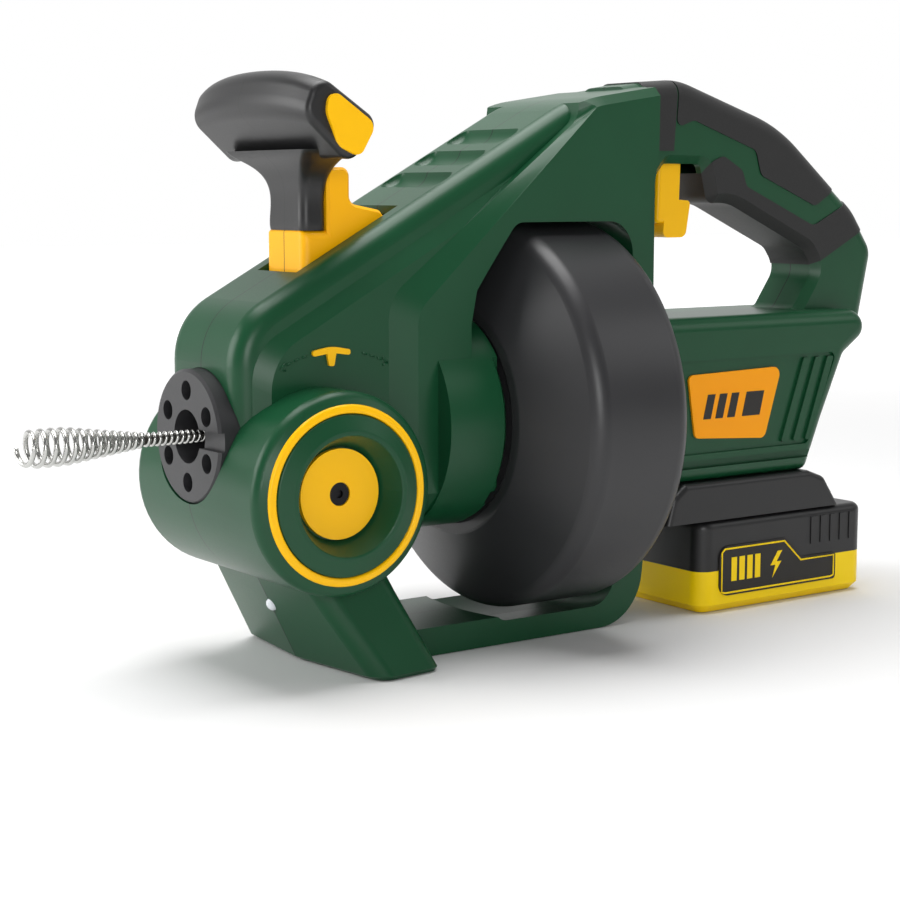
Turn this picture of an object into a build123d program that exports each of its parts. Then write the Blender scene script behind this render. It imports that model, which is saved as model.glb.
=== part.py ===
from build123d import *
import math
import os

# Cordless drain snake machine. Millimetres. The origin lies on the floor under the middle of the drum.
# X runs from the nose (-X) to the handle (+X), Y to the machine's right, Z up.

# --- driving dimensions: drum and cable ---
DRUM_R = 92.0            # outside radius of the cable drum
DRUM_Z = 104.5           # height of the drum axis above the floor
DRUM_FRONT = -43.0       # front end of the drum's cone
DRUM_RIM_FRONT = -26.0   # where the cone meets the rim
DRUM_SEAM = 1.0
DRUM_REAR = 28.0
DRUM_CONE_R = 52.0
DRUM_WALL = 2.6
RECESS_R = 14.0          # recess at the back of the drum
NECK_R = 15.0
NECK_BORE_R = 9.0
NECK_FRONT = -64.0
CABLE_D = 6.35
CABLE_TAIL = -50.0
CABLE_END = -219.0
HEAD_LENGTH = 35.0
HEAD_R = 8.2
DRUM_GAP = 6.0           # air between the drum and its bay
BUSH_WALL = 3.0
RUN_GAP = 0.05           # radial play of a turning shaft
SHAFT_R = 6.0

# --- driving dimensions: casing ---
WALL = 3.0
CORE_HALF = 31.0         # half width of the nose and the spine
PANEL_HALF = 35.0
SIDE_HALF = 40.0         # half width of the side walls beside the drum
NOSE_X = -171.0
PANEL_FRONT = -164.0     # front of the flat field on the nose
TOP_SLOPE = 0.537        # rise of the sloping top per unit of length
CREST_X = 8.0
CREST_Z = 249.3
CROWN_Z = 261.0
PILLAR_FRONT = 35.0
PILLAR_REAR = 56.0
HUB_R = 50.0             # round hub in front of the drum
UNDER_R = HUB_R - 1.0    # rounded underside between the barrel and the hub
HUB_FRONT = -70.0
BAY_FRONT = -58.0
BARREL_X = -135.0
BARREL_Z = 82.5
BARREL_R = 43.4
BARREL_LEFT = 50.0       # depth of the dish floor on each side
BARREL_RIGHT = 42.0
DISH_RISE = 12.0
RAIL_HALF = 29.0
FOOT_HEIGHT = 46.0
GROOVE_R = 9.5           # finger scoops over the sloping top
GROOVE_DEPTH = 3.2
GROOVE_HALF = 23.0
GROOVE_PLACES = (-60.0, -41.5, -23.0)

# --- driving dimensions: outlet collar ---
COLLAR_R = 28.7
COLLAR_FACE = -178.3
COLLAR_THICK = 12.5
COLLAR_BORE_R = 11.5
COLLAR_PCD = COLLAR_R + COLLAR_BORE_R - 0.8   # holes midway between the bore and the rim
COLLAR_HOLE_R = 4.2

# --- driving dimensions: handle, rear box and battery ---
GRIP_HALF = 18.0
GRIP_WALL = 4.0
GRIP_ROUND = 8.0         # rounding of the back of the handle
EYE_BEVEL = 4.0          # bevel round the finger opening
HANDLE_ROOT = 60.0       # start of the D handle, joined to the spine by a neck
BOX_HALF = 35.0
BOX_TOP = 147.0
BOX_LOW = 66.0
BATTERY_LENGTH = 116.0
BATTERY_HALF = 37.0
BATTERY_X = 84.0
BATTERY_TOP = 46.0
BATTERY_SEAM = 21.0
SLIDE_GAP = 0.4
SLIDE_NECK = 24.0        # half widths of the T slot that the battery slides in
SLIDE_HEAD = 28.0
SLIDE_Z = 52.0           # underside of the slot's lips

# --- driving dimensions: feed lever, drive and fasteners ---
LEVER_HALF = 16.0
LEVER_FRONT = -129.5
LEVER_REAR = -85.0
LEVER_TRAVEL = 3.9       # room for the lever in its slot, each way
SADDLE_TOP = 191.0
POST_FRONT = -117.0
POST_REAR = -105.5
POST_TOP = 218.0
PIVOT_R = 5.0
DISC_R = 19.2
RING_INNER_R = 34.4      # yellow ring on the barrel end
RING_OUTER_R = 38.2
TBAR_HALF = 49.0
TBAR_X = -130.5
TBAR_Z = 242.0
ICON_X = -128.2          # T mark of the feed scale
ICON_Z = 142.0
SKIN = 1.6               # thickness of the rubber skins
SKIN_PROUD = 0.6         # how far they stand above the handle
MODULE = 0.7
SUN_TEETH = 12
PLANET_TEETH = 18
RING_TEETH = 48
GEAR_FACE = 6.0
CARRIER_R = 13.0
MOTOR_R = 18.0
MOTOR_LENGTH = 55.0
AXLE_R = 2.0             # rotor's own axle
ROLLER_R = 4.0
ROLLER_GAP = 0.6         # air between a roller and the cable while the lever rests
ROLLER_PIN_R = 1.5
SCREW_R = 1.9
BOSS_R = 4.4

os.makedirs("parts", exist_ok=True)


# --- helpers ---
def save(name, shape):
    """Write one named piece."""
    shape.label = name
    export_step(shape, "parts/" + name + ".step")


def group(solids):
    """Collect solids that do not touch into one named piece."""
    return Compound(children=list(solids))


def outline(corners):
    """Fill a closed line through (a, b, radius) corners."""
    points = [(a, b) for a, b, _ in corners]
    radii = [r for _, _, r in corners]
    return make_face(FilletPolyline(*points, radius=radii, close=True))


def slab(corners, half, centre=0.0):
    """Extrude a side-view outline to both sides of a lengthwise plane."""
    face = Plane.XZ.offset(-centre) * outline(corners)
    return extrude(face, amount=half, both=True)


def box(x0, x1, y0, y1, z0, z1):
    """Box between two corners."""
    return Pos((x0 + x1) / 2, (y0 + y1) / 2, (z0 + z1) / 2) * Box(x1 - x0, y1 - y0, z1 - z0)


def rod_x(x0, x1, radius, y=0.0, z=DRUM_Z):
    """Round bar along X."""
    return Pos((x0 + x1) / 2, y, z) * Rot(0, 90, 0) * Cylinder(radius, x1 - x0)


def rod_y(y0, y1, radius, x, z):
    """Round bar along Y."""
    return Pos(x, (y0 + y1) / 2, z) * Rot(90, 0, 0) * Cylinder(radius, y1 - y0)


def rod_z(z0, z1, radius, x, y):
    """Round bar along Z."""
    return Pos(x, y, (z0 + z1) / 2) * Cylinder(radius, z1 - z0)


def turned_x(corners):
    """Turn an (x, radius, fillet) outline about the drum axis."""
    face = Pos(0, 0, DRUM_Z) * (Plane.XZ * outline(corners))
    return revolve(face, Axis((0, 0, DRUM_Z), (1, 0, 0)))


def turned_y(corners, side):
    """Turn a (radius, depth, fillet) outline about the barrel axis, towards one side."""
    face = Pos(BARREL_X, 0, BARREL_Z) * outline([(r, side * depth, f) for r, depth, f in corners])
    return revolve(face, Axis((BARREL_X, 0, BARREL_Z), (0, 1, 0)))


def half_of(shape, side):
    """Keep one side of the mid-plane."""
    reach = 150
    low, high = (-reach, 0) if side < 0 else (0, reach)
    return shape & box(-400, 400, low, high, -50, 400)


def top_z(x):
    """Height of the sloping top at x."""
    return CREST_Z + TOP_SLOPE * (x - CREST_X)


# --- casing: outside ---
NOSE_TOP = top_z(NOSE_X)


def silhouette(inset=0.0):
    """Side view of the spine, from the nose over the drum to the rear pillar and the rail."""
    slant = inset * 1.13
    return [
        (NOSE_X + inset, BARREL_Z - 5, 0),
        (NOSE_X + inset, NOSE_TOP - slant * 0.7, 30 - inset),
        (CREST_X, CREST_Z - slant, 60),
        (PILLAR_REAR - inset, CROWN_Z - 4.3 - inset, 0),
        (PILLAR_REAR - inset, BOX_LOW - 10, 0),
        (PILLAR_REAR - 6 - inset, inset, 26 - inset),
        (-90, inset, 0),
        (-118, BARREL_Z - 20, 0),
    ]


def spine():
    """Core of the casing with its long upper edges rounded."""
    body = slab(silhouette(), CORE_HALF)
    edges = [e for e in body.edges() if abs(abs(e.center().Y) - CORE_HALF) < 0.01]
    upper = [e for e in edges if e.center().Z > 120 and e.center().X < PILLAR_REAR]
    return fillet(upper, 9.0)


def bevelled(low, high, low_half, high_half):
    """Raised side plate whose edges slope from one outline down to a wider one on the level below."""
    raised = slab(low, low_half)
    for side in (-1, 1):
        foot_face = Plane.XZ.offset(-side * (low_half - 0.5)) * outline(low)
        base_face = Plane.XZ.offset(-side * low_half) * outline(low)
        top_face = Plane.XZ.offset(-side * high_half) * outline(high)
        raised = raised + loft([foot_face, base_face], ruled=True) + loft([base_face, top_face], ruled=True)
    return raised


def panel():
    """Flat field on the nose sides, framed by a sloping edge."""
    drop = 15.0
    run = 7.0
    rear = CREST_X + 8
    low = [
        (PANEL_FRONT, BARREL_Z, 0),
        (PANEL_FRONT, top_z(PANEL_FRONT) - drop, 24),
        (rear, top_z(rear) - drop, 0),
        (rear, DRUM_Z, 0),
    ]
    high = [
        (PANEL_FRONT + run, BARREL_Z + 1, 0),
        (PANEL_FRONT + run, top_z(PANEL_FRONT + run) - drop - run, 24),
        (rear - 1, top_z(rear) - drop - run, 0),
        (rear - 1, DRUM_Z + 1, 0),
    ]
    return bevelled(low, high, CORE_HALF, PANEL_HALF)


def side_walls():
    """Proud walls on both sides of the drum."""
    low_z = BARREL_Z - 28
    low = [
        (-98.5, low_z, 0), (-98.5, 162, 20), (5, 240, 10), (9, 270, 0), (PILLAR_REAR + 4, 270, 0),
        (PILLAR_REAR + 4, BOX_TOP - 30, 0),
    ]
    high = [
        (-86.5, low_z, 0), (-86.5, 156, 14), (13, 246, 8), (20, 270, 0), (PILLAR_REAR + 4, 270, 0),
        (PILLAR_REAR + 4, BOX_TOP - 30, 0),
    ]
    wall = bevelled(low, high, PANEL_HALF, SIDE_HALF)
    trimmed = wall & slab(silhouette(), SIDE_HALF + 1)
    back = [
        (51, 300, 0), (50.5, 225, 30), (44, 190, 20), (46, 165, 20), (52, 145, 0), (52, 0, 0),
        (200, 0, 0), (200, 300, 0),
    ]
    trimmed = trimmed - slab(back, SIDE_HALF + 10)
    edges = [e for e in trimmed.edges() if abs(abs(e.center().Y) - SIDE_HALF) < 0.01]
    crest = [e for e in edges if e.center().Z > CREST_Z]
    return chamfer(crest, 4.0)


def barrel():
    """Cross barrel of the nose with a dished end on each side."""
    whole = rod_y(-BARREL_LEFT, BARREL_RIGHT, BARREL_R - 6, BARREL_X, BARREL_Z)
    for side, depth in ((-1, BARREL_LEFT), (1, BARREL_RIGHT)):
        whole = whole + turned_y([
            (0, 0, 0), (BARREL_R, 0, 0), (BARREL_R, depth + 6, 5), (RING_OUTER_R + 0.1, depth + 8.5, 0),
            (RING_OUTER_R + 0.1, depth + 6.5, 0), (RING_INNER_R - 0.1, depth + 6.5, 0),
            (RING_INNER_R - 0.1, depth + 9.7, 1), (27.5, depth + DISH_RISE, 1.5),
            (25.5, depth + DISH_RISE, 0.8), (DISC_R + 0.6, depth, 0), (0, depth, 0),
        ], side)
    return whole


def foot():
    """Flared front foot."""
    sole = Polyline((-125, 0), (-118, -58), (-83, -54), (-80, 0), (-83, 54), (-118, 58), close=True)
    ankle = Polyline((-148, 0), (-147, -45), (-106, -44), (-105, 0), (-106, 44), (-147, 45), close=True)
    block = loft([Plane.XY * make_face(sole), Plane.XY.offset(FOOT_HEIGHT) * make_face(ankle)])
    uprights = [e for e in block.edges() if 15 < e.center().Z < 30 and abs(e.center().Y) > 20]
    block = fillet(uprights, 7.0)
    rim = [e for e in block.edges() if e.center().Z < 0.01]
    return chamfer(rim, 2.0)


def drum_bay():
    """Space that the drum turns in, open through both side walls."""
    radius = DRUM_R + DRUM_GAP
    return turned_x([
        (HUB_FRONT + 26, 0, 0), (HUB_FRONT + 26, HUB_R, 0), (BAY_FRONT, HUB_R, 0), (BAY_FRONT, 60, 0),
        (BAY_FRONT + 3, 72, 0), (-33, radius, 8), (PILLAR_FRONT, radius, 14), (PILLAR_FRONT, 0, 0),
    ])


def handle_outline(inset=0.0):
    """Outer line of the D handle."""
    return [
        (HANDLE_ROOT, BOX_TOP - 25, 0),
        (HANDLE_ROOT, 259 - inset, 0),
        (86, 261 - inset, 40),
        (154, 240 - inset * 1.1, 90),
        (208 - inset, 198 - inset, 30),
        (224 - inset, 177, 12),
        (214 - inset, 132 + inset, 12),
        (186, BOX_TOP - 25, 0),
    ]


def handle_eye(grow=0.0):
    """Finger opening of the D handle, made tighter by what the handle grows."""
    return [
        (PILLAR_REAR, BOX_TOP + grow, 4), (PILLAR_REAR, 196, 6), (76, 221, 3), (100, 221, 3),
        (105, 202 - grow, 5), (118, 203 - grow, 30), (173 - grow, 179 - grow, 10),
        (181 - grow, 168 - grow, 10), (166 - grow, BOX_TOP + grow, 6),
    ]


def handle(grow=0.0):
    """Solid D handle with rounded edges, grown or shrunk by an even skin."""
    half = GRIP_HALF + grow
    outer = outline(handle_outline())
    if grow:
        outer = offset(outer, grow)
    ring = extrude(Plane.XZ * outer, amount=half, both=True) - slab(handle_eye(grow), half + 1)
    back = [e for e in flat_side_edges(ring, half) if on_back(e)]
    inner = [e.center() for e in flat_side_edges(ring, half) if e.center().X > 110 and not on_back(e)]
    ring = fillet(back, GRIP_ROUND + grow)
    rim = [e for e in flat_side_edges(ring, half) if min((e.center() - spot).length for spot in inner) < 0.5]
    return chamfer(rim, EYE_BEVEL + grow)


def neck():
    """Root of the handle, buried in the spine."""
    front = PILLAR_REAR - 6
    rear = HANDLE_ROOT + 1
    body = slab([(front, 196, 0), (front, 257.2, 0), (rear, 259, 0), (rear, 203, 0)], GRIP_HALF)
    top = [e for e in flat_side_edges(body, GRIP_HALF) if e.center().Z > 250]
    return fillet(top, GRIP_ROUND)


def flat_side_edges(shape, half):
    """Edges of the flat sides above the rear box."""
    return [e for e in shape.edges() if abs(abs(e.center().Y) - half) < 0.01 and e.center().Z > BOX_TOP + 2]


def on_back(edge):
    """Whether an edge belongs to the outer line of the handle."""
    spot = edge.center()
    return (spot.Z > 205 and spot.X > 105) or spot.X > 186 or spot.Z > 240


BOX_OUTLINE = [
    (PILLAR_FRONT + 2, BOX_LOW, 0), (PILLAR_FRONT + 2, BOX_TOP, 0), (196, BOX_TOP, 10),
    (204, 136, 8), (186, 124, 6), (171, 92, 0), (160, BOX_LOW, 3),
]


def rear_box():
    """Drive housing behind the drum, with a stepped side and a groove above the battery shoe."""
    body = slab(BOX_OUTLINE, BOX_HALF)
    top = [e for e in body.edges() if abs(abs(e.center().Y) - BOX_HALF) < 0.01 and e.center().Z > 126]
    body = fillet(top, 7.0)
    for side in (-1, 1):
        field = [(62, 80, 0), (62, 126, 0), (178, 126, 3), (158, 80, 3)]
        body = body - slab(field, 1.5, side * BOX_HALF)
        groove = [(62, 73, 0), (62, 77, 0), (190, 77, 0), (190, 73, 0)]
        body = body - slab(groove, 3.0, side * BOX_HALF)
        for number in range(3):
            x = 139.5 + 8.5 * number
            rib = [(x, 82, 1), (x + 15, 124, 1), (x + 19.5, 124, 1), (x + 4.5, 82, 1)]
            body = body + slab(rib, 1.2, side * (BOX_HALF - 1.3))
    return body


def top_grooves(grow=0.0):
    """Finger scoops across the sloping top, grown by what the wall under them needs."""
    half = GROOVE_HALF + grow
    lift = GROOVE_R - GROOVE_DEPTH
    slope = math.atan(TOP_SLOPE)
    cuts = []
    for x in GROOVE_PLACES:
        z = top_z(x) + lift * math.cos(slope)
        scoop = rod_y(-half, half, GROOVE_R + grow, x - lift * math.sin(slope), z)
        cuts.append(fillet(scoop.edges().filter_by(GeomType.CIRCLE), 5.0))
    return cuts


def under_gap():
    """Open triangle between the foot, the hub and the rail."""
    return slab([(-101, 46, 2), (-82, 13, 3), (-30, 13, 0), (-60, 54, 0), (-94, 57, 2)], 80)


def under_round(radius):
    """What lies outside the hub's round, below the drum axis and behind the barrel."""
    return box(-100, -34, -60, 60, 40, 84) - rod_x(-101, -33, radius)


def casing_outside():
    """Whole casing as one solid block."""
    body = spine() + panel() + side_walls()
    body = body - drum_bay()
    body = body - under_gap()
    body = body - under_round(UNDER_R)
    for low_y, high_y in ((-SIDE_HALF - 20, -RAIL_HALF), (RAIL_HALF, SIDE_HALF + 20)):
        body = body - box(-90, PILLAR_REAR + 5, low_y, high_y, -1, 56)
    body = body + foot() + barrel() + handle() + neck() + rear_box()
    hub = rod_x(HUB_FRONT - 6, HUB_FRONT + 26, HUB_R)
    lip = [e for e in hub.edges() if e.center().X > HUB_FRONT]
    body = body + chamfer(lip, 3.0)
    body = body - rod_x(-240, COLLAR_FACE + COLLAR_THICK, COLLAR_R + 0.3)
    return body - top_grooves()


# --- casing: inside ---
def bay_jacket():
    """Wall of the drum bay that the inside must leave standing."""
    radius = DRUM_R + DRUM_GAP + WALL
    return turned_x([
        (HUB_FRONT - 3, 0, 0), (HUB_FRONT - 3, 60, 0), (-36, radius, 0), (PILLAR_FRONT + WALL, radius, 0),
        (PILLAR_FRONT + WALL, 0, 0),
    ])


def casing_inside():
    """Hollow of the nose, the spine, the handle and the rear box."""
    hollow = slab(silhouette(WALL), CORE_HALF - WALL)
    hollow = hollow - box(-91, PILLAR_REAR, -60, 60, -10, 62)
    hollow = hollow - box(-300, 300, -60, 60, -10, 56)
    hollow = hollow - bay_jacket()
    hollow = hollow - under_round(UNDER_R - WALL)
    hollow = hollow - top_grooves(WALL)
    radius = BARREL_R - WALL - 3
    hollow = hollow + rod_y(-BARREL_LEFT + WALL, BARREL_RIGHT - WALL, radius, BARREL_X, BARREL_Z)
    return hollow + grip_inside() + box_inside()


def grip_inside():
    """Hollow of the handle and its neck, kept clear of the finger opening."""
    half = GRIP_HALF - GRIP_WALL
    low_z = BOX_TOP - GRIP_WALL
    eye = [
        (PILLAR_REAR - GRIP_WALL, low_z, 0), (PILLAR_REAR - GRIP_WALL, 199, 0), (75, 225, 0), (103, 225, 0),
        (108, 206, 0), (119, 206, 0), (176, 181, 0), (185, 168, 0), (170, low_z, 0),
    ]
    hollow = slab(handle_outline(GRIP_WALL), half) - slab(eye, GRIP_HALF)
    hollow = hollow & box(HANDLE_ROOT, 400, -50, 50, BOX_TOP - 10, 400)
    return hollow + box(PILLAR_REAR - 6, HANDLE_ROOT + 2, -half, half, 212, 253)


def box_inside():
    """Hollow of the rear box for the gearbox and the motor."""
    front = PILLAR_FRONT + WALL
    low_z = BOX_LOW + WALL
    high_z = BOX_TOP - GRIP_WALL
    room = [
        (front, low_z, 0), (front, high_z, 0), (190, high_z, 0), (196, 136, 0), (181, 124, 0),
        (155, low_z, 0),
    ]
    return slab(room, BOX_HALF - 5.0)


LAMP_SEAT = Pos(-138.3, 0, 26.6) * Rot(0, -116.6, 0)   # square to the front of the foot
LENS_R = 3.2
SCREW_SPOTS = [
    (-155, 139), (-22, 221), (38, 240), (134, 220), (203, 180), (166, 136), (148, 78), (-112, 18), (44, 40),
]


def lever_slot():
    """Opening in the top that the feed lever stands in."""
    front = LEVER_FRONT - LEVER_TRAVEL
    rear = LEVER_REAR + LEVER_TRAVEL
    return slab([(front, 150, 0), (front, 210, 0), (rear, 235, 0), (rear, 176, 0)], LEVER_HALF + SLIDE_GAP)


def trigger_slot():
    """Pocket under the handle root for the trigger."""
    return box(73.5, 107, -10.5, 10.5, 180, 240)


def casing_half(outside, inside, skins, side):
    """One moulded half: the shell with its screw bosses, seats and slots."""
    shell = (outside - inside) + (rod_x(NOSE_X, -158, COLLAR_R + 3) & outside)
    for x, z in SCREW_SPOTS:
        shell = shell + (rod_y(-CORE_HALF, CORE_HALF, BOSS_R, x, z) & outside)
    shell = half_of(shell, side)
    for x, z in SCREW_SPOTS:
        shell = shell - rod_y(-9.0, 60, SCREW_R + 0.1, x, z)
        shell = shell - rod_y(6.0, 70, BOSS_R - 0.8, x, z)
    shell = shell - lever_slot() - trigger_slot()
    shell = shell - rod_x(-190, -150, COLLAR_R - 6 + 0.05)
    shell = shell - rod_x(HUB_FRONT - 20, PILLAR_REAR, NECK_R + BUSH_WALL)
    shell = shell - rod_y(-80, 80, PIVOT_R + RUN_GAP, BARREL_X, BARREL_Z)
    shell = shell - rod_x(PILLAR_FRONT - 1, PILLAR_FRONT + 8, PLATE_R)
    shell = shell - LAMP_SEAT * Cylinder(LENS_R + 0.1, 12)
    for skin in skins.values():
        shell = shell - skin
    return shell


# --- drum ---
def drum_front():
    """Front half of the drum: the neck that the cable leaves by, the cone and the rim."""
    inner = DRUM_R - DRUM_WALL
    face = DRUM_FRONT + 2
    floor = face + DRUM_WALL
    return turned_x([
        (NECK_FRONT, NECK_BORE_R, 0), (NECK_FRONT, NECK_R, 0.8), (face, NECK_R, 2),
        (face, DRUM_CONE_R - 4, 0), (DRUM_FRONT, DRUM_CONE_R - 2, 1), (DRUM_FRONT, DRUM_CONE_R + 3, 3),
        (DRUM_RIM_FRONT, DRUM_R, 9), (DRUM_SEAM, DRUM_R, 0), (DRUM_SEAM, inner, 0),
        (DRUM_RIM_FRONT + 1, inner, 7), (floor, DRUM_CONE_R, 0), (floor, NECK_BORE_R, 0),
    ])


def drum_rear():
    """Rear half of the drum with the recess for its drive shaft."""
    inner = DRUM_R - DRUM_WALL
    recess = DRUM_REAR - 12
    seat = DRUM_REAR - 15
    return turned_x([
        (DRUM_SEAM, inner, 0), (DRUM_SEAM, DRUM_R, 0), (DRUM_REAR, DRUM_R, 9), (DRUM_REAR, RECESS_R, 0),
        (recess, RECESS_R, 0), (recess, SHAFT_R, 0), (seat, SHAFT_R, 0), (seat, RECESS_R + 3, 0),
        (DRUM_REAR - DRUM_WALL, RECESS_R + 3, 0), (DRUM_REAR - DRUM_WALL, inner, 6),
    ])


def stored_cable():
    """Cable wound in the drum, one ring per turn."""
    turns = []
    pitch = CABLE_D + 0.15
    for layer in range(3):
        for turn in range(5):
            radius = DRUM_R - DRUM_WALL - 4 - layer * pitch
            x = -17.5 + turn * pitch
            turns.append(Pos(x, 0, DRUM_Z) * Rot(0, 90, 0) * Torus(radius, CABLE_D / 2))
    return group(turns)


def gear(teeth, length, bore, x, phase=0.0, y=0.0, z=0.0):
    """Spur gear along X with straight-sided teeth; y and z are offsets from the drum axis."""
    pitch_r = MODULE * teeth / 2
    points = tooth_points(teeth, pitch_r - 1.15 * MODULE, pitch_r, pitch_r + 0.85 * MODULE, phase)
    face = make_face(Polyline(*points, close=True))
    if bore:
        face = face - Circle(bore)
    body = extrude(Plane.YZ * face, amount=length)
    return Pos(x, y, DRUM_Z + z) * body


def tooth_points(teeth, root_r, pitch_r, tip_r, phase):
    """Outline of straight-sided teeth: root, flank and tip points of each."""
    step = 360.0 / teeth
    rising = ((root_r, -0.34), (pitch_r, -0.235), (tip_r, -0.11))
    shares = rising + tuple((radius, -share) for radius, share in reversed(rising))
    points = []
    for tooth in range(teeth):
        for radius, share in shares:
            angle = math.radians(phase + (tooth + share) * step)
            points.append((radius * math.cos(angle), radius * math.sin(angle)))
    return points


ORBIT = MODULE * (SUN_TEETH + PLANET_TEETH) / 2
STAGE_2_X = 47.0
STAGE_1_X = 58.0
RING_OUT_R = 21.0
PLATE_R = 22.0            # seat of the gearbox plate in the casing


def planet_set(x):
    """Three planet gears around the sun, in mesh at rest."""
    gears = []
    for number in range(3):
        turn = 120.0 * number
        y = ORBIT * math.cos(math.radians(turn))
        z = ORBIT * math.sin(math.radians(turn))
        gears.append(gear(PLANET_TEETH, GEAR_FACE, 1.5 + RUN_GAP, x, turn - 180.0 / PLANET_TEETH, y, z))
    return gears


def ring_gear():
    """Fixed toothed ring around both planet stages."""
    pitch_r = MODULE * RING_TEETH / 2
    points = tooth_points(RING_TEETH, pitch_r + 1.15 * MODULE, pitch_r, pitch_r - 0.85 * MODULE, 0.0)
    face = Circle(RING_OUT_R) - make_face(Polyline(*points, close=True))
    length = STAGE_1_X + GEAR_FACE + 2 - STAGE_2_X
    return Pos(STAGE_2_X - 2, 0, DRUM_Z) * extrude(Plane.YZ * face, amount=length)


def carrier(x, pins_to):
    """Planet carrier plate with its three pins."""
    plate = rod_x(x - 2.6, x - 0.4, CARRIER_R)
    for number in range(3):
        turn = math.radians(120.0 * number)
        plate = plate + rod_x(x - 2.6, pins_to, 1.5, ORBIT * math.cos(turn), DRUM_Z + ORBIT * math.sin(turn))
    return plate


def drive():
    """Planetary gearbox and motor on the drum axis."""
    output = carrier(STAGE_2_X, STAGE_2_X + GEAR_FACE + 0.4)
    output = output + rod_x(DRUM_REAR - 15, STAGE_2_X - 2.6, SHAFT_R - 0.02)
    save("output_shaft", output)
    for stage, x in ((2, STAGE_2_X), (1, STAGE_1_X)):
        for number, planet in enumerate(planet_set(x)):
            save("planet_gear_%d%s" % (stage, "abc"[number]), planet)
    middle = carrier(STAGE_1_X, STAGE_1_X + GEAR_FACE + 0.4)
    middle = middle + gear(SUN_TEETH, STAGE_1_X - 2.6 - STAGE_2_X, 0, STAGE_2_X)
    save("carrier_gear", middle)
    save("ring_gear", ring_gear())
    front = PILLAR_FRONT
    rear = PILLAR_FRONT + 8
    plate = rod_x(front, rear, PLATE_R - 0.1) - rod_x(front - 1, rear + 1, SHAFT_R + BUSH_WALL)
    plate = plate + (rod_x(rear, STAGE_2_X - 2.8, RING_OUT_R) - rod_x(front, STAGE_2_X, CARRIER_R + 1))
    save("gearbox_plate", plate)
    bush = rod_x(front, rear, SHAFT_R + BUSH_WALL) - rod_x(front - 1, rear + 1, SHAFT_R + RUN_GAP)
    save("rear_bush", bush)
    motor(STAGE_1_X + GEAR_FACE)


def motor(x):
    """Brushed motor: can with magnets, end cap and rotor."""
    start = x + 1.0
    end = start + MOTOR_LENGTH
    flange = rod_x(x, start + 2, RING_OUT_R) - rod_x(x - 1, start + 3, 12.6)
    can = rod_x(start + 2, end, MOTOR_R) - rod_x(start + 4, end + 1, MOTOR_R - 1.5)
    can = can - rod_x(start, start + 5, AXLE_R + 2)
    save("motor_can", flange + can)
    cap = rod_x(end, end + 5, MOTOR_R) - rod_x(end - 1, end + 6, AXLE_R + RUN_GAP)
    save("motor_endcap", cap)
    windings = rod_x(start + 10, end - 12, MOTOR_R - 5)
    commutator = rod_x(end - 10, end - 4, 6.0)
    rotor = windings + commutator + rod_x(STAGE_1_X + GEAR_FACE, end + 4, AXLE_R)
    rotor = rotor + gear(SUN_TEETH, GEAR_FACE, 0, STAGE_1_X)
    save("motor_rotor", rotor)


# --- feed lever ---
def lever_base():
    """Yellow saddle and rear post of the lever, cut to the slope of the top."""
    base = [
        (LEVER_FRONT, 158, 0), (LEVER_FRONT, SADDLE_TOP, 1), (POST_FRONT, SADDLE_TOP, 0),
        (POST_FRONT, POST_TOP, 4), (POST_REAR, POST_TOP, 4), (POST_REAR, 202.5, 4), (-90, 199.5, 3),
        (LEVER_REAR, 193.5, 2), (LEVER_REAR, 184, 0),
    ]
    saddle = slab(base, LEVER_HALF)
    fronts = [e for e in saddle.edges().filter_by(Axis.Z) if e.center().X < LEVER_FRONT + 0.1]
    saddle = fillet(fronts, 4.0)
    sides = [e for e in saddle.edges() if abs(abs(e.center().Y) - LEVER_HALF) < 0.01]
    saddle = chamfer([e for e in sides if e.center().Z > SADDLE_TOP + 1], 1.2)
    room = [(-116, 150, 0), (-116, 178, 0), (-98, 188, 0), (-70, 188, 0), (-70, 150, 0)]
    saddle = saddle - slab(room, LEVER_HALF - 3)
    arm = [(-128, 160, 0), (-112, 172, 0), (-100, 172, 0), (-127, 82, 0), (-143, 82, 0)]
    arms = slab(arm, LEVER_HALF - 1)
    arms = arms - slab([(-150, 60, 0), (-150, 165, 0), (-90, 165, 0), (-90, 60, 0)], LEVER_HALF - 4.5)
    eye = rod_y(-LEVER_HALF + 1, LEVER_HALF - 1, 10.0, BARREL_X, BARREL_Z)
    eye = eye - rod_y(-LEVER_HALF + 4.5, LEVER_HALF - 4.5, 11.0, BARREL_X, BARREL_Z)
    bridge = box(-145, -123, -LEVER_HALF + 2, LEVER_HALF - 2, 117.5, 121)
    bridge = bridge + box(-145, -142, -6, 6, 109, 119) + box(-126, -123, -6, 6, 109, 119)
    _, y, z = roller_places()[0]
    bridge = bridge - rod_x(-150, -120, ROLLER_PIN_R, y, z)
    whole = saddle + arms + eye + bridge
    return whole - rod_y(-60, 60, PIVOT_R, BARREL_X, BARREL_Z)


def tee_section(scale, x, z):
    """Leaning leaf section of the cross bar."""
    leaf = ((-12.0, 17.0, 7.0), (18.0, -2.5, 6.0), (3.5, -19.5, 6.0), (-18.5, 0.0, 8.0))
    return [(x + a * scale, z + b * scale, radius * scale) for a, b, radius in leaf]


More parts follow.
